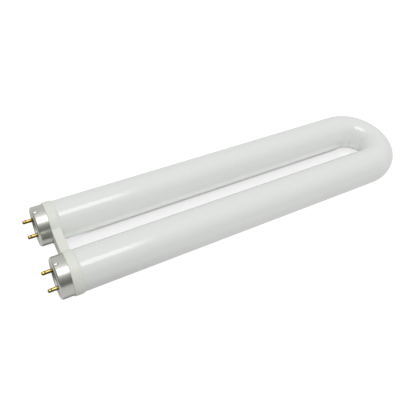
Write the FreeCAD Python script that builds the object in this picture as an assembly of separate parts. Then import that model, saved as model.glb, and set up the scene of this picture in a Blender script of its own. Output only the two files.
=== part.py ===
import FreeCAD, Part
import math
import os

V = FreeCAD.Vector
ALONG = V(1, 0, 0)
SAME_POINT = 1e-7         # two points closer than this are one

# Whole lamp, in millimetres
lamp_length = 266.7       # front of the end caps to the outside of the bend
leg_spacing = 41.275      # between the centre lines of the two legs
tube_diameter = 25.4

# Glass ends, drawn in and sealed inside the caps
glass_setback = 5.6       # front of the cap to the sealed end of the glass
seal_round = 2.0          # rounded edge of the sealed end
shoulder_length = 1.2     # slope from the drawn-in neck to the full tube
shoulder_gap = 0.2        # between the cap's skirt and the start of the slope
exhaust_diameter = 4.0    # pumping stub left on the sealed end
exhaust_length = 2.4
exhaust_round = 1.0

# Aluminium end caps
cap_inset = 0.1           # cap wall below the surface of the glass
cap_wall = 0.4
cap_rim_radius = 1.4      # outer edge of the rolled-in front rim
cap_lip_radius = 0.6      # inner edge of the rim, where it turns back to the pin plate
cap_lip_slope = 10.0      # degrees between the lip inside the rim and the cap's axis
cap_showing = 7.6         # cap in front of the leg brace
cap_tucked = 3.2          # cap under the leg brace
cement_thickness = 0.7    # between the drawn-in glass and the cap's skirt
cement_margin = 0.2       # cement short of the skirt's edge and of the rounded seal

# Stake dimples that centre the pin plate in the cap
dimple_setback = 2.0      # front of the cap to the middle of the dimple
dimple_mouth = 1.9        # width at the cap's surface
dimple_straight = 1.0     # between the dimple's two round ends
dimple_depth = 0.4
dimple_clearance = 0.05   # between the dimple's inner bulge and the pin plate

# Insulating pin plate, seated behind the rolled-in rim
plate_thickness = 0.8

# Contact pins
pin_spacing = 12.7
pin_diameter = 2.35
pin_length = 5.7          # tip to the front of the cap
pin_tip_round = 0.8
pin_shank_diameter = 1.9  # neck through the plate
pin_hole_clearance = 0.03
pin_flange_diameter = 3.8  # riveted head behind the plate
pin_flange_thickness = 0.4
pin_shoulder_diameter = 3.0  # swaged ring in front of the plate
pin_shoulder_thickness = 0.35
pin_root_round = 0.2      # fillet from the pin to its shoulder ring
pin_end_wall = 1.6        # solid metal at the tip, beyond the bore
crimp_depth = 0.24
crimp_width = 0.9
crimp_setback = 2.3       # tip to the middle of the crimp
crimp_slant = 30.0        # degrees between the crimp mark and the pin's cross-section

# Lead wires from the sealed end into the pins
wire_diameter = 0.6
wire_clearance = 0.05     # in the bore of the pin
wire_spread = 9.2         # between the two wires where they leave the glass
wire_run = 0.5            # straight wire at the glass and behind the pin
wire_bend = 0.6
wire_short = 0.4          # wire end short of the pin's bore end

# Moulded leg brace: two collars and a web
brace_width = 5.4         # along the legs, without the lead-out slope
brace_wall = 0.65
brace_slope = 0.6         # lead-out from the collar down to the glass
brace_lip = 0.1           # wall left at the thin end of the slope
brace_edge_round = 0.4    # front edge of the collars
brace_crown = 0.15        # bulge of the collars' outer face
brace_clearance = 0.05
web_height = 13.0
web_edge_round = 0.5

# Worked-out sizes
tube_radius = tube_diameter / 2
bend_radius = leg_spacing / 2
cap_radius = tube_radius - cap_inset
cap_inner_radius = cap_radius - cap_wall
cap_length = cap_showing + cap_tucked
rim_crest = cap_radius - cap_rim_radius
lip_turn = 270 - cap_lip_slope
neck_radius = cap_inner_radius - cement_thickness
plate_front = cap_rim_radius
plate_back = plate_front + plate_thickness
plate_radius = cap_inner_radius - dimple_depth - dimple_clearance
pin_radius = pin_diameter / 2
shank_radius = pin_shank_diameter / 2
wire_radius = wire_diameter / 2
bore_radius = wire_radius + wire_clearance
collar_bore = tube_radius + brace_clearance
collar_radius = collar_bore + brace_wall
brace_end = cap_showing + brace_width
bend_start = lamp_length - bend_radius - tube_radius

# Place in the part's frame: the middle of the lamp over the surface it lies on
front_x = -(lamp_length - pin_length) / 2
axis_z = max(collar_radius, tube_radius)
LEGS = {"left": bend_radius, "right": -bend_radius}
PINS = {"outer": pin_spacing / 2, "inner": -pin_spacing / 2}


def turned(outline):
    """Solid turned about the X axis from a closed outline of (x, radius) points and ready edges."""
    edges = []
    last = None
    for item in outline + outline[:1]:
        if isinstance(item, tuple):
            point = V(item[0], item[1], 0)
            if last is not None and point.distanceToPoint(last) > SAME_POINT:
                edges.append(Part.LineSegment(last, point).toShape())
            last = point
        else:
            start = item.Vertexes[0].Point
            if start.distanceToPoint(last) > SAME_POINT:
                edges.append(Part.LineSegment(last, start).toShape())
            edges.append(item)
            last = item.Vertexes[-1].Point
    return Part.Face(Part.Wire(edges)).revolve(V(0, 0, 0), ALONG, 360)


def corner_arc(centre_x, centre_r, radius, start, end):
    """Arc in the outline plane, from one angle to the other in degrees, 0 along X and 90 outward."""
    points = []
    for angle in (start, (start + end) / 2, end):
        a = math.radians(angle)
        points.append(V(centre_x + radius * math.cos(a), centre_r + radius * math.sin(a), 0))
    return Part.Arc(*points).toShape()


def round_ended_rod(radius, length, start):
    """Rod along X with a half ball on each end, from the centre of one ball to that of the other."""
    rod = Part.makeCylinder(radius, length, start, ALONG)
    return rod.fuse([Part.makeSphere(radius, start), Part.makeSphere(radius, start + ALONG * length)])


def glass_leg():
    """One straight leg, from the pumping stub at its sealed end to the start of the bend."""
    stub = exhaust_diameter / 2
    stub_x = glass_setback - exhaust_length
    slope_x = cap_length + shoulder_gap
    return turned([
        (stub_x, 0),
        corner_arc(stub_x + exhaust_round, stub - exhaust_round, exhaust_round, 180, 90),
        (glass_setback, stub),
        corner_arc(glass_setback + seal_round, neck_radius - seal_round, seal_round, 180, 90),
        (slope_x, neck_radius),
        (slope_x + shoulder_length, tube_radius),
        (bend_start, tube_radius),
        (bend_start, 0),
    ])


def glass_tube():
    """Coated glass, blown and bent as one sealed piece."""
    bend = Part.makeTorus(bend_radius, tube_radius, V(0, 0, 0), V(0, 0, 1), 0, 360, 180)
    bend.rotate(V(0, 0, 0), V(0, 0, 1), -90)
    bend.translate(V(bend_start, 0, 0))
    legs = [glass_leg().translated(V(0, y, 0)) for y in LEGS.values()]
    return bend.fuse(legs).removeSplitter()


def lip_at_plate(fold_radius):
    """Radius where the sloping lip that leaves a fold of the given radius meets the pin plate."""
    leave = math.radians(lip_turn)
    fold_x = cap_lip_radius + fold_radius * math.cos(leave)
    fold_r = rim_crest + fold_radius * math.sin(leave)
    return fold_r - (plate_front - fold_x) * math.tan(math.radians(cap_lip_slope))


def end_cap():
    """Drawn aluminium sleeve, its front rim rolled in over the pin plate, with two stake dimples."""
    outer_edge = corner_arc(cap_rim_radius, rim_crest, cap_rim_radius, 180, 90)
    body = turned([(0, 0), outer_edge, (cap_length, cap_radius), (cap_length, 0)])
    cup = turned([
        (plate_front, lip_at_plate(cap_lip_radius)),
        corner_arc(cap_lip_radius, rim_crest, cap_lip_radius, lip_turn, 180),
        outer_edge,
        (cap_length, cap_radius),
        (cap_length, cap_inner_radius),
        corner_arc(cap_rim_radius, rim_crest, cap_rim_radius - cap_wall, 90, 180),
        corner_arc(cap_lip_radius, rim_crest, cap_lip_radius - cap_wall, 180, lip_turn),
        (plate_front, lip_at_plate(cap_lip_radius - cap_wall)),
    ])
    dent_radius = ((dimple_mouth / 2) ** 2 + dimple_depth ** 2) / (2 * dimple_depth)
    bulge_radius = dent_radius + cap_wall
    dent_height = cap_radius + dent_radius - dimple_depth
    for side in (-1, 1):
        start = V(dimple_setback - dimple_straight / 2, 0, side * dent_height)
        cup = cup.fuse(round_ended_rod(bulge_radius, dimple_straight, start).common(body))
        cup = cup.cut(round_ended_rod(dent_radius, dimple_straight, start))
    return cup


def pin_plate():
    """Insulating disc against the edge of the rolled-in rim, with a hole for the neck of each pin."""
    disc = Part.makeCylinder(plate_radius, plate_thickness, V(plate_front, 0, 0), ALONG)
    hole_radius = shank_radius + pin_hole_clearance
    for y in PINS.values():
        disc = disc.cut(Part.makeCylinder(hole_radius, plate_thickness, V(plate_front, y, 0), ALONG))
    return disc


def contact_pin():
    """Hollow brass pin riveted through the plate, with a slanted crimp above and below."""
    shoulder_x = plate_front - pin_shoulder_thickness
    back = plate_back + pin_flange_thickness
    bore_end = -pin_length + pin_end_wall
    pin = turned([
        (-pin_length, 0),
        corner_arc(pin_tip_round - pin_length, pin_radius - pin_tip_round, pin_tip_round, 180, 90),
        corner_arc(shoulder_x - pin_root_round, pin_radius + pin_root_round, pin_root_round, 270, 360),
        (shoulder_x, pin_shoulder_diameter / 2),
        (plate_front, pin_shoulder_diameter / 2),
        (plate_front, shank_radius),
        (plate_back, shank_radius),
        (plate_back, pin_flange_diameter / 2),
        (back, pin_flange_diameter / 2),
        (back, bore_radius),
        (bore_end, bore_radius),
        (bore_end, 0),
    ])
    notch_radius = ((crimp_width / 2) ** 2 + crimp_depth ** 2) / (2 * crimp_depth)
    slant = math.radians(crimp_slant)
    across = V(math.sin(slant), math.cos(slant), 0)
    reach = across * (pin_diameter / math.cos(slant))
    for side in (-1, 1):
        middle = V(crimp_setback - pin_length, 0, side * (pin_radius - crimp_depth + notch_radius))
        pin = pin.cut(Part.makeCylinder(notch_radius, 2 * reach.Length, middle - reach, across))
    return pin


def cement_ring():
    """Basing cement between the drawn-in glass and the cap's skirt."""
    start = glass_setback + seal_round + cement_margin
    length = cap_length - cement_margin - start
    ring = Part.makeCylinder(cap_inner_radius, length, V(start, 0, 0), ALONG)
    return ring.cut(Part.makeCylinder(neck_radius, length, V(start, 0, 0), ALONG))


def lead_wire(side):
    """Wire from the sealed end, bent out to the pin's axis and run into its bore."""
    glass_y = side * wire_spread / 2
    pin_y = side * pin_spacing / 2
    points = [
        V(glass_setback, glass_y, 0),
        V(glass_setback - wire_run, glass_y, 0),
        V(plate_back + pin_flange_thickness + wire_run, pin_y, 0),
        V(pin_end_wall - pin_length + wire_short, pin_y, 0),
    ]
    edges = []
    last = points[0]
    for before, corner, after in zip(points, points[1:], points[2:]):
        back = (before - corner).normalize()
        ahead = (after - corner).normalize()
        half_turn = (math.pi - back.getAngle(ahead)) / 2
        trim = wire_bend * math.tan(half_turn)
        inward = (back + ahead).normalize()
        middle = corner + inward * (wire_bend / math.cos(half_turn) - wire_bend)
        edges.append(Part.LineSegment(last, corner + back * trim).toShape())
        edges.append(Part.Arc(corner + back * trim, middle, corner + ahead * trim).toShape())
        last = corner + ahead * trim
    edges.append(Part.LineSegment(last, points[-1]).toShape())
    section = Part.Wire(Part.makeCircle(wire_radius, points[0], ALONG))
    return Part.Wire(edges).makePipeShell([section], True, False)


def brace_collar():
    """Outer form of one collar: rounded front edge, crowned face, slope down to the glass."""
    edge_radius = collar_radius - brace_crown
    crown = Part.Arc(
        V(cap_showing + brace_edge_round, edge_radius, 0),
        V((cap_showing + brace_edge_round + brace_end) / 2, collar_radius, 0),
        V(brace_end, edge_radius, 0),
    ).toShape()
    return turned([
        (cap_showing, 0),
        corner_arc(cap_showing + brace_edge_round, edge_radius - brace_edge_round, brace_edge_round, 180, 90),
        crown,
        (brace_end + brace_slope, collar_bore + brace_lip),
        (brace_end + brace_slope, 0),
    ])


def leg_brace():
    """Moulded brace: a collar round each leg, joined by a web between them."""
    web = Part.makeBox(brace_width, leg_spacing, web_height, V(cap_showing, -bend_radius, -web_height / 2))
    long_edges = [e for e in web.Edges if abs(e.Length - leg_spacing) < SAME_POINT]
    web = web.makeFillet(web_edge_round, long_edges)
    brace = web.fuse([brace_collar().translated(V(0, y, 0)) for y in LEGS.values()])
    length = brace_width + brace_slope
    for y in LEGS.values():
        brace = brace.cut(Part.makeCylinder(collar_bore, length, V(cap_showing, y, 0), ALONG))
    return brace.removeSplitter()


def lamp_parts():
    """Every piece of the lamp by name, about the plane of the legs with the caps' fronts at x = 0."""
    parts = {"glass_tube": glass_tube(), "leg_brace": leg_brace()}
    for leg, y in LEGS.items():
        seat = V(0, y, 0)
        parts[leg + "_end_cap"] = end_cap().translated(seat)
        parts[leg + "_pin_plate"] = pin_plate().translated(seat)
        parts[leg + "_cement_ring"] = cement_ring().translated(seat)
        outward = math.copysign(1, y)
        for pin, offset in PINS.items():
            side = outward * math.copysign(1, offset)
            pin_seat = V(0, y + side * pin_spacing / 2, 0)
            parts[leg + "_" + pin + "_pin"] = contact_pin().translated(pin_seat)
            parts[leg + "_" + pin + "_lead_wire"] = lead_wire(side).translated(seat)
    return parts


os.makedirs("parts", exist_ok=True)
for name, shape in lamp_parts().items():
    solid = shape.translated(V(front_x, 0, axis_z))
    solid.exportStep("parts/" + name + ".step")
    print(name, "valid" if solid.isValid() else "INVALID", len(solid.Solids), round(solid.Volume, 2))
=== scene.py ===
import math

import bmesh
import bpy
from mathutils import Matrix, Vector


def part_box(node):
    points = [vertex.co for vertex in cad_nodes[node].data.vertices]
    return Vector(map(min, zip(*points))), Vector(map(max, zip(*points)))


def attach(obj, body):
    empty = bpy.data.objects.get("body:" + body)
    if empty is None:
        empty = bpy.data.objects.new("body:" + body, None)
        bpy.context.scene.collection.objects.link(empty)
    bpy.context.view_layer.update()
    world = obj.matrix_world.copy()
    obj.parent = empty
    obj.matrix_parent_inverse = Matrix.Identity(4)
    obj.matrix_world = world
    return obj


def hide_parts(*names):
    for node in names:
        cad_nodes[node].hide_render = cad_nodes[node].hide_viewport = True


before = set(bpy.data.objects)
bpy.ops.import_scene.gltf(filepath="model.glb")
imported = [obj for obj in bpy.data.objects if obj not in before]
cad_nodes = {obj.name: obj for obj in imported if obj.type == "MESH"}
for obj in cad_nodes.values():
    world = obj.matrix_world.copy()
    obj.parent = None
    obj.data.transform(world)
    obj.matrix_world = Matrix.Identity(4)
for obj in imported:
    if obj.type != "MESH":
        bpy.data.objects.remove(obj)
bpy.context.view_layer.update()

MM = 0.001
QUARTER_TURN = math.pi / 2

# Camera, as fitted to the photograph, in metres, degrees and pixels of a square frame
FRAME_PX = 416
FOCAL_PX = 540.2
PRINCIPAL_PX = (230.7, 159.5)
SENSOR_MM = 36.0
CAMERA_AT = Vector((-0.15663, -0.20947, 0.28136))
CAMERA_AZIMUTH = 35.53
CAMERA_ELEVATION = 42.80
CAMERA_ROLL = -8.61
CLIP_START = 0.01

# Places on the lamp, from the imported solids
glass_low, glass_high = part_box("glass_tube")
TUBE_R = (glass_high.z - glass_low.z) / 2
AXIS_Z = (glass_high.z + glass_low.z) / 2
BEND_R = glass_high.y - TUBE_R
BEND_X = glass_high.x - BEND_R - TUBE_R
brace_low, brace_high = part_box("leg_brace")
WEB_X = (brace_low.x + brace_high.x) / 2
CAP_FRONT_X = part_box("left_end_cap")[0].x

# Glass tube mesh: how finely it is divided
RING_POINTS = 96
LEG_RINGS = 72
BEND_RINGS = 120
ARC_STEPS = 6

# Sealed end of each leg: pumping stub, rounded seal, neck, and shoulder up to the full tube
STUB_R = 2.0 * MM
STUB_ROUND = 1.0 * MM
STUB_LENGTH = 2.4 * MM
NECK_R = 11.5 * MM
SEAL_ROUND = 2.0 * MM
NECK_LENGTH = 5.4 * MM
SHOULDER_LENGTH = 1.2 * MM

# Inside of the bend, drawn flat as the glass is bent: deepest at the middle of the bend
FLATTEN = 1.9 * MM
FLATTEN_POWER = 4.5
# Shallow folds there: angle round the bend and width, both in degrees, then depth, then how
# closely the fold keeps to the inside
FOLDS = (
    (42.5, 10.8, 0.68 * MM, 3.6),
    (1.5, 17.7, 0.64 * MM, 1.0),
    (-52.0, 11.0, 0.45 * MM, 4.0),
)


def smooth_mesh(name, bm):
    """Object with the given mesh, shaded smooth."""
    bmesh.ops.recalc_face_normals(bm, faces=bm.faces)
    mesh = bpy.data.meshes.new(name)
    bm.to_mesh(mesh)
    bm.free()
    for face in mesh.polygons:
        face.use_smooth = True
    piece = bpy.data.objects.new(name, mesh)
    bpy.context.scene.collection.objects.link(piece)
    return piece


def arc(centre_x, centre_r, radius, start, end):
    """Points (x, radius) of an arc in a turned outline, angles in degrees."""
    points = []
    for step in range(ARC_STEPS + 1):
        angle = math.radians(start + (end - start) * step / ARC_STEPS)
        points.append((centre_x + radius * math.cos(angle), centre_r + radius * math.sin(angle)))
    return points


def leg_outline():
    """Points (x, radius) of one leg, from the pumping stub to the start of the bend."""
    tip = glass_low.x
    seal = tip + STUB_LENGTH
    shoulder = seal + NECK_LENGTH
    tube = shoulder + SHOULDER_LENGTH
    outline = arc(tip + STUB_ROUND, STUB_R - STUB_ROUND, STUB_ROUND, 180, 90)
    outline.append((seal, STUB_R))
    outline += arc(seal + SEAL_ROUND, NECK_R - SEAL_ROUND, SEAL_ROUND, 180, 90)
    outline.append((shoulder, NECK_R))
    for step in range(LEG_RINGS):
        outline.append((tube + (BEND_X - tube) * step / LEG_RINGS, TUBE_R))
    return outline


def bend_depth(turn, around):
    """How far the glass is drawn in at an angle round the bend and an angle round the tube.

    The angle round the tube is 0 on the outside of the bend.
    """
    inward = (1 - math.cos(around)) / 2
    depth = FLATTEN * math.cos(turn) ** FLATTEN_POWER * inward
    for middle, width, deepest, hold in FOLDS:
        depth += deepest * math.exp(-((math.degrees(turn) - middle) / width) ** 2) * inward ** hold
    return depth


def glass_rings():
    """Centre, outward direction, radius and turn of each ring, from one sealed end to the other."""
    left = Vector((0, 1, 0))
    leg = [(Vector((x, BEND_R, AXIS_Z)), left, radius, QUARTER_TURN) for x, radius in leg_outline()]
    rings = list(leg)
    for step in range(BEND_RINGS + 1):
        turn = QUARTER_TURN - math.pi * step / BEND_RINGS
        outward = Vector((math.cos(turn), math.sin(turn), 0))
        rings.append((Vector((BEND_X, 0, AXIS_Z)) + outward * BEND_R, outward, TUBE_R, turn))
    for centre, outward, radius, turn in reversed(leg):
        rings.append((Vector((centre.x, -centre.y, centre.z)), -outward, radius, -turn))
    return rings


def make_glass():
    """Coated glass: one closed skin along both legs and round the bend."""
    bm = bmesh.new()
    up = Vector((0, 0, 1))
    last = None
    for centre, outward, radius, turn in glass_rings():
        bent = abs(turn) < QUARTER_TURN
        ring = []
        for step in range(RING_POINTS):
            around = 2 * math.pi * step / RING_POINTS
            reach = radius - (bend_depth(turn, around) if bent else 0.0)
            sideways = outward * reach * math.cos(around)
            ring.append(bm.verts.new(centre + sideways + up * reach * math.sin(around)))
        if last:
            for step in range(RING_POINTS):
                after = (step + 1) % RING_POINTS
                bm.faces.new((last[step], last[after], ring[after], ring[step]))
        else:
            bm.faces.new(ring)
        last = ring
    bm.faces.new(last)
    return smooth_mesh("coated_glass_tube", bm)


class Nodes:
    """A node tree, with short ways to add nodes to it."""

    def __init__(self, tree):
        self.tree = tree

    def feed(self, socket, value):
        """Link a socket to another node's output, or set it to a constant."""
        if isinstance(value, bpy.types.NodeSocket):
            self.tree.links.new(value, socket)
        else:
            socket.default_value = value

    def fill(self, node, **values):
        """Feed the inputs of a node, named with _ for each space."""
        for name, value in values.items():
            self.feed(node.inputs[name.replace("_", " ")], value)

    def node(self, kind, **values):
        node = self.tree.nodes.new(kind)
        self.fill(node, **values)
        return node

    def split(self, vector):
        """Outputs X, Y and Z of a vector."""
        return self.node("ShaderNodeSeparateXYZ", Vector=vector).outputs

    def math(self, operation, first, second=0):
        node = self.tree.nodes.new("ShaderNodeMath")
        node.operation = operation
        self.feed(node.inputs[0], first)
        self.feed(node.inputs[1], second)
        return node.outputs["Value"]

    def dot(self, first, second):
        """How far one vector goes along another."""
        node = self.tree.nodes.new("ShaderNodeVectorMath")
        node.operation = "DOT_PRODUCT"
        self.feed(node.inputs[0], first)
        self.feed(node.inputs[1], second)
        return node.outputs["Value"]

    def fade(self, value, dark, light, kind="LINEAR"):
        """0 up to the first value and 1 from the second on."""
        fade = self.node("ShaderNodeMapRange", Value=value, From_Min=dark, From_Max=light)
        fade.interpolation_type = kind
        return fade.outputs["Result"]

    def blend(self, first, second, factor, kind="RGBA"):
        """From the first colour, or value, to the second."""
        mix = self.tree.nodes.new("ShaderNodeMix")
        mix.data_type = kind
        self.fill(mix, Factor=factor, A=first, B=second)
        return mix.outputs["Result"]

    def ramp(self, value, stops):
        """Colour ramp over a value, from (position, colour) stops."""
        ramp = self.node("ShaderNodeValToRGB", Fac=value)
        elements = ramp.color_ramp.elements
        for index, (position, colour) in enumerate(stops):
            element = elements[index] if index < len(elements) else elements.new(position)
            element.position = position
            element.color = (*colour, 1)
        return ramp.outputs["Color"]

    def greys(self, value, stops):
        """Ramp of plain levels over a value, from (position, level) stops."""
        return self.ramp(value, [(position, (level, level, level)) for position, level in stops])


class Look(Nodes):
    """A node material with a Principled shader."""

    def __init__(self, name):
        self.material = bpy.data.materials.new(name)
        self.material.use_nodes = True
        super().__init__(self.material.node_tree)
        self.shader = self.tree.nodes["Principled BSDF"]

    def set(self, **values):
        self.fill(self.shader, **values)

    def place(self, scale=(1, 1, 1)):
        """Object coordinates in metres, times a scale for each axis."""
        place = self.node("ShaderNodeTexCoord").outputs["Object"]
        return self.node("ShaderNodeMapping", Vector=place, Scale=scale).outputs["Vector"]

    def noise(self, per_metre, detail, stretch=(1, 1, 1)):
        """Noise with so many lumps in a metre, times a number for each axis."""
        place = self.place(stretch)
        noise = self.node("ShaderNodeTexNoise", Vector=place, Scale=per_metre, Detail=detail)
        return noise.outputs["Fac"]

    def bump(self, height, strength, distance):
        bump = self.node("ShaderNodeBump", Height=height, Strength=strength, Distance=distance)
        return bump.outputs["Normal"]


# Shades of the materials, and roughness of caps and pins, at the dark and the light value of a noise
POWDER = ((0.835, 0.855, 0.83), (0.855, 0.875, 0.85))
ALUMINIUM = ((0.55, 0.553, 0.51), (0.585, 0.588, 0.545))
GOLD_BRASS = ((0.44, 0.30, 0.07), (0.61, 0.45, 0.15))
PALE_BRASS = ((0.42, 0.35, 0.10), (0.60, 0.52, 0.21))
FIBRE_BOARD = ((0.018, 0.016, 0.014), (0.05, 0.042, 0.034))
CREAM_PLASTIC = ((0.81, 0.835, 0.755), (0.84, 0.86, 0.79))
CEMENT = ((0.55, 0.49, 0.39), (0.75, 0.69, 0.58))
WIRE = ((0.42, 0.38, 0.34), (0.60, 0.56, 0.52))
CAP_ROUGHNESS = (0.27, 0.31)
PIN_ROUGHNESS = (0.24, 0.15)

# Those two values of a noise
WIDE_NOISE = (0.3, 0.7)
NARROW_NOISE = (0.35, 0.65)
TARNISH_NOISE = (0.35, 0.62)
TINT_NOISE = (0.4, 0.6)

# Painted shade on the pins' underside: full where a surface faces up less than the first share, none
# past the second
UNDERSIDE_SHADE = (0.09, 0.055, 0.014, 1.0)
UNDERSIDE_SHADE_TURN = (0.2, 0.7)


def glass_look():
    """White powder coating under clear, slightly rippled glass."""
    look = Look("coated_glass")
    powder = look.noise(per_metre=900, detail=6)
    ripple = look.noise(per_metre=60, detail=2, stretch=(0.35, 1, 1))
    look.set(Base_Color=look.ramp(powder, zip(NARROW_NOISE, POWDER)))
    look.set(Coat_Normal=look.bump(ripple, strength=0.05, distance=0.3 * MM))
    look.set(Roughness=0.6, Specular_IOR_Level=0.0)
    look.set(Coat_Weight=1.0, Coat_Roughness=0.07, Coat_IOR=1.5)
    return look.material


def aluminium_look():
    """Drawn aluminium with fine lines round the cap."""
    look = Look("cap_aluminium")
    lines = look.noise(per_metre=1, detail=5, stretch=(2600, 60, 60))
    look.set(Base_Color=look.ramp(lines, zip(WIDE_NOISE, ALUMINIUM)))
    look.set(Roughness=look.greys(lines, zip(WIDE_NOISE, CAP_ROUGHNESS)), Metallic=1.0)
    return look.material


def brass_look():
    """Brass in two tints, a little tarnished, with painted shade underneath."""
    look = Look("pin_brass")
    tarnish = look.noise(per_metre=1400, detail=5)
    gold = look.ramp(tarnish, zip(TARNISH_NOISE, GOLD_BRASS))
    pale = look.ramp(tarnish, zip(TARNISH_NOISE, PALE_BRASS))
    bright = look.blend(gold, pale, look.fade(look.noise(per_metre=90, detail=1), *TINT_NOISE))
    # Painted shade: the less a pin's surface faces up, the darker it is painted
    normal = look.node("ShaderNodeNewGeometry").outputs["Normal"]
    upward = look.fade(look.split(normal)["Z"], *UNDERSIDE_SHADE_TURN)
    look.set(Base_Color=look.blend(UNDERSIDE_SHADE, bright, upward))
    look.set(Roughness=look.greys(tarnish, zip(WIDE_NOISE, PIN_ROUGHNESS)), Metallic=1.0)
    return look.material


def insulator_look():
    """Dark pressed fibre board."""
    look = Look("plate_insulator")
    fibre = look.noise(per_metre=2500, detail=6)
    look.set(Base_Color=look.ramp(fibre, zip(NARROW_NOISE, FIBRE_BOARD)))
    look.set(Normal=look.bump(fibre, strength=0.3, distance=0.03 * MM))
    look.set(Roughness=0.62, Specular_IOR_Level=0.1)
    return look.material


def plastic_look():
    """Cream moulded plastic with a satin skin."""
    look = Look("brace_plastic")
    cloud = look.noise(per_metre=220, detail=4)
    grain = look.noise(per_metre=5000, detail=3)
    look.set(Base_Color=look.ramp(cloud, zip(WIDE_NOISE, CREAM_PLASTIC)))
    look.set(Normal=look.bump(grain, strength=0.12, distance=0.02 * MM))
    look.set(Roughness=0.42, Specular_IOR_Level=0.4)
    return look.material


def cement_look():
    """Dry grainy basing cement."""
    look = Look("basing_cement")
    grain = look.noise(per_metre=3000, detail=6)
    look.set(Base_Color=look.ramp(grain, zip(WIDE_NOISE, CEMENT)))
    look.set(Normal=look.bump(grain, strength=0.5, distance=0.05 * MM))
    look.set(Roughness=0.9)
    return look.material


def wire_look():
    """Dull drawn wire."""
    look = Look("lead_metal")
    drawn = look.noise(per_metre=1, detail=4, stretch=(300, 6000, 6000))
    look.set(Base_Color=look.ramp(drawn, zip(WIDE_NOISE, WIRE)))
    look.set(Metallic=1.0, Roughness=0.38)
    return look.material


def dress(piece, material):
    piece.data.materials.clear()
    piece.data.materials.append(material)


def make_camera():
    """Camera at the photograph's place, angle and framing."""
    azimuth = math.radians(CAMERA_AZIMUTH)
    elevation = math.radians(CAMERA_ELEVATION)
    ahead = Vector((
        math.sin(azimuth) * math.cos(elevation),
        math.cos(azimuth) * math.cos(elevation),
        -math.sin(elevation),
    ))
    level = Vector((math.cos(azimuth), -math.sin(azimuth), 0))
    roll = Matrix.Rotation(math.radians(CAMERA_ROLL), 3, ahead)
    right = roll @ level
    up = right.cross(ahead)
    data = bpy.data.cameras.new("camera")
    data.sensor_width = SENSOR_MM
    data.lens = FOCAL_PX * SENSOR_MM / FRAME_PX
    data.shift_x = (FRAME_PX / 2 - PRINCIPAL_PX[0]) / FRAME_PX
    data.shift_y = (PRINCIPAL_PX[1] - FRAME_PX / 2) / FRAME_PX
    data.clip_start = CLIP_START
    camera = bpy.data.objects.new("camera", data)
    turn = Matrix((right, up, -ahead)).transposed()
    camera.matrix_world = Matrix.Translation(CAMERA_AT) @ turn.to_4x4()
    bpy.context.scene.collection.objects.link(camera)
    bpy.context.scene.camera = camera


# Floor, and how strongly it glows
FLOOR_SIZE = 12.0
FLOOR_WHITE = (0.30, 0.30, 0.30, 1)
FLOOR_TINT = (1, 0.985, 0.993, 1)
FLOOR_LIGHT = 0.44              # light up from the floor beside the lamp
FLOOR_MIRROR = 0.58             # the same floor as it is mirrored in the lamp
FLOOR_GLOW = 0.93               # and as the camera sees it
GAP_LIGHT = 0.95                # light up from the floor between the legs
GAP_MIRROR = 0.70               # the same floor as it is mirrored in the lamp
# Painted shade and light: the camera sees the floor between the legs greyer, and a little lighter
# towards the middle of the bend
GAP_GLOW = 0.66                 # and as the camera sees it
BEND_GLOW = 0.11                # what is added to that towards the middle of the bend

# Lit and shaded parts of the floor, each edge from dark to light
POOL_X = ((-0.15, -0.04), (0.28, 0.22))  # ends of the lit part along the lamp
POOL_Y = ((-0.24, -0.18), (0.24, 0.18))  # and across it
SHADE_REACH = (0.006, 0.012)    # shade under the tube, from the line where it lies
WIDE_REACH = (0.010, 0.017)     # the same under the caps, and as the legs mirror the gap

# Thin shadow along the edge of the gap, drawn by the floor's own glow for the camera
EDGE_GLOW = 0.12                # floor in that shadow
EDGE_REACH = (0.0052, 0.0072)   # its edge, from the line where the tube lies, dark to light
EDGE_START = (-0.086, -0.108)   # its end behind the brace, along the lamp, dark to light
EDGE_BEND = 7.0 * MM            # how much nearer the line it ends at the middle of the bend
EDGE_TURN = 1.4                 # how late round the bend it draws nearer

# Soft box, in metres and watts
SOFTBOX_AT = Vector((0.0, -0.34, 1.6))
SOFTBOX_SIZE = (0.78, 0.83)
SOFTBOX_POWER = 8.5
SOFTBOX_EDGE = 0.2              # share of its width over which each edge fades out

# Surround: levels by height, from 0 straight down to 1 straight up
SKY_FRONT = ((0.0, 0.12), (0.5, 0.12), (0.72, 0.22), (0.85, 0.45), (0.95, 0.8), (1.0, 1.25))
SKY_BACK = ((0.0, 0.6), (0.5, 0.75), (0.71, 0.80), (0.88, 0.85), (0.95, 0.98), (1.0, 1.25))
SKY_FILL = ((0.0, 0.4), (0.5, 0.47), (0.75, 0.62), (1.0, 0.80))
SKY_HEADING = Vector((0.7, 0.7, 0.0))  # towards the back
SKY_BLEND = 0.3                 # how far to each side of the middle the front turns into the back
SKY_WHITE = (1, 1, 1, 1)


def tube_on_floor(look, place):
    """Where a point of the floor is, seen from the line on which the tube lies.

    Gives the distance from that line, 1 for a point inside the U and 0 outside, and how far round
    the bend it is, 1 at the middle and 0 beside the legs.
    """
    past_legs = look.math("MAXIMUM", look.math("SUBTRACT", place["X"], BEND_X), 0)
    squares = look.math("ADD", look.math("POWER", past_legs, 2), look.math("POWER", place["Y"], 2))
    out = look.math("SQRT", squares)
    distance = look.math("ABSOLUTE", look.math("SUBTRACT", out, BEND_R))
    inside = look.math("LESS_THAN", out, BEND_R)
    round_bend = look.math("DIVIDE", past_legs, out)
    return distance, inside, round_bend


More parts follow.
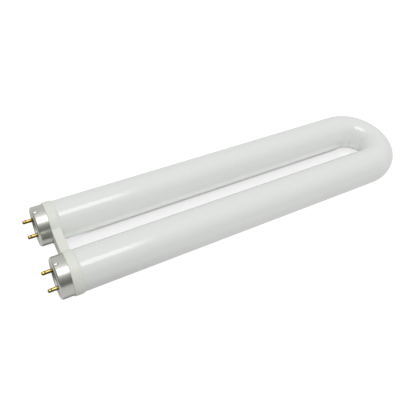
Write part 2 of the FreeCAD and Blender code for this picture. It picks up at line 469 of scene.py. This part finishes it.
def floor_light(look, place, from_tube, past_web, gap, mirrored):
    """Glow of the floor for the light it gives the lamp, and as the lamp mirrors it."""
    pool = FLOOR_LIGHT
    for axis, ends in (("X", POOL_X), ("Y", POOL_Y)):
        for end in ends:
            pool = look.math("MULTIPLY", look.fade(place[axis], *end), pool)
    narrow = look.fade(from_tube, *SHADE_REACH)
    wide = look.fade(from_tube, *WIDE_REACH)
    in_front = look.math("LESS_THAN", place["X"], CAP_FRONT_X)
    shade = look.math("MAXIMUM", look.blend(wide, narrow, past_web, "FLOAT"), in_front)
    beside = look.math("MULTIPLY", look.blend(pool, FLOOR_MIRROR, mirrored, "FLOAT"), shade)
    gap_light = look.math("MULTIPLY", narrow, GAP_LIGHT)
    gap_mirror = look.math("MULTIPLY", wide, GAP_MIRROR)
    between = look.blend(gap_light, gap_mirror, mirrored, "FLOAT")
    return look.blend(beside, between, gap, "FLOAT")


def floor_glow(look, place, from_tube, round_bend, gap):
    """Glow of the floor as the camera sees it: painted shade between the legs and a painted shadow
    along the edge of the gap.
    """
    drawn_in = look.math("MULTIPLY", look.math("POWER", round_bend, EDGE_TURN), EDGE_BEND)
    edge = look.fade(look.math("ADD", from_tube, drawn_in), *EDGE_REACH)
    edge = look.math("MAXIMUM", edge, look.fade(place["X"], *EDGE_START))
    gap_glow = look.math("ADD", look.math("MULTIPLY", round_bend, BEND_GLOW), GAP_GLOW)
    between = look.blend(EDGE_GLOW, gap_glow, edge, "FLOAT")
    return look.blend(FLOOR_GLOW, between, gap, "FLOAT")


def make_floor():
    """Plain pale floor that glows: white to the camera, with painted shade between the legs.

    Its light on the lamp and its mirror image there have strengths of their own, with a painted pool
    of light and painted shade under the tube.
    """
    bm = bmesh.new()
    bmesh.ops.create_grid(bm, x_segments=1, y_segments=1, size=FLOOR_SIZE / 2)
    floor = smooth_mesh("floor", bm)
    look = Look("floor_white")
    place = look.split(look.place())
    from_tube, inside, round_bend = tube_on_floor(look, place)
    past_web = look.math("GREATER_THAN", place["X"], WEB_X)
    gap = look.math("MULTIPLY", past_web, inside)
    rays = look.node("ShaderNodeLightPath").outputs
    light = floor_light(look, place, from_tube, past_web, gap, rays["Is Glossy Ray"])
    glow = floor_glow(look, place, from_tube, round_bend, gap)
    look.set(Base_Color=FLOOR_WHITE, Roughness=0.9, Specular_IOR_Level=0.0)
    look.set(Emission_Color=FLOOR_TINT)
    look.set(Emission_Strength=look.blend(light, glow, rays["Is Camera Ray"], "FLOAT"))
    dress(floor, look.material)


def make_softbox():
    """Soft box high above the near side of the lamp, fading out towards its edges."""
    data = bpy.data.lights.new("softbox", "AREA")
    data.shape = "RECTANGLE"
    data.size, data.size_y = SOFTBOX_SIZE
    data.energy = SOFTBOX_POWER
    data.use_nodes = True
    light = Nodes(data.node_tree)
    across = light.split(light.node("ShaderNodeNewGeometry").outputs["Parametric"])
    level = 1.0
    for axis in "XY":
        for edge in (0, 1):
            fade = light.fade(across[axis], edge, abs(edge - SOFTBOX_EDGE), "SMOOTHSTEP")
            level = light.math("MULTIPLY", fade, level)
    light.fill(light.tree.nodes["Emission"], Strength=level)
    softbox = bpy.data.objects.new("softbox", data)
    softbox.location = SOFTBOX_AT
    bpy.context.scene.collection.objects.link(softbox)


def make_surround():
    """Soft surround, white to the camera.

    As the lamp mirrors it, it is light behind and dark low in front. For all other light it is a
    plain fill, brighter from above.
    """
    world = bpy.data.worlds.new("surround")
    world.use_nodes = True
    bpy.context.scene.world = world
    sky = Nodes(world.node_tree)
    heading = sky.node("ShaderNodeTexCoord").outputs["Generated"]
    height = sky.fade(sky.split(heading)["Z"], -1, 1)
    behind = sky.fade(sky.dot(heading, SKY_HEADING), -SKY_BLEND, SKY_BLEND)
    mirrored = sky.blend(sky.greys(height, SKY_FRONT), sky.greys(height, SKY_BACK), behind)
    rays = sky.node("ShaderNodeLightPath").outputs
    light = sky.blend(sky.greys(height, SKY_FILL), mirrored, rays["Is Glossy Ray"])
    colour = sky.blend(light, SKY_WHITE, rays["Is Camera Ray"])
    sky.fill(sky.tree.nodes["Background"], Color=colour)


glass = make_glass()
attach(glass, "root")
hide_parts("glass_tube")
dress(glass, glass_look())

looks = {
    "leg_brace": plastic_look(),
    "end_cap": aluminium_look(),
    "pin_plate": insulator_look(),
    "pin": brass_look(),
    "cement_ring": cement_look(),
    "lead_wire": wire_look(),
}
for name, node in cad_nodes.items():
    for ending, material in looks.items():
        if name.endswith(ending):
            dress(node, material)

make_floor()
make_softbox()
make_surround()
make_camera()
bpy.context.scene.view_settings.view_transform = "Standard"
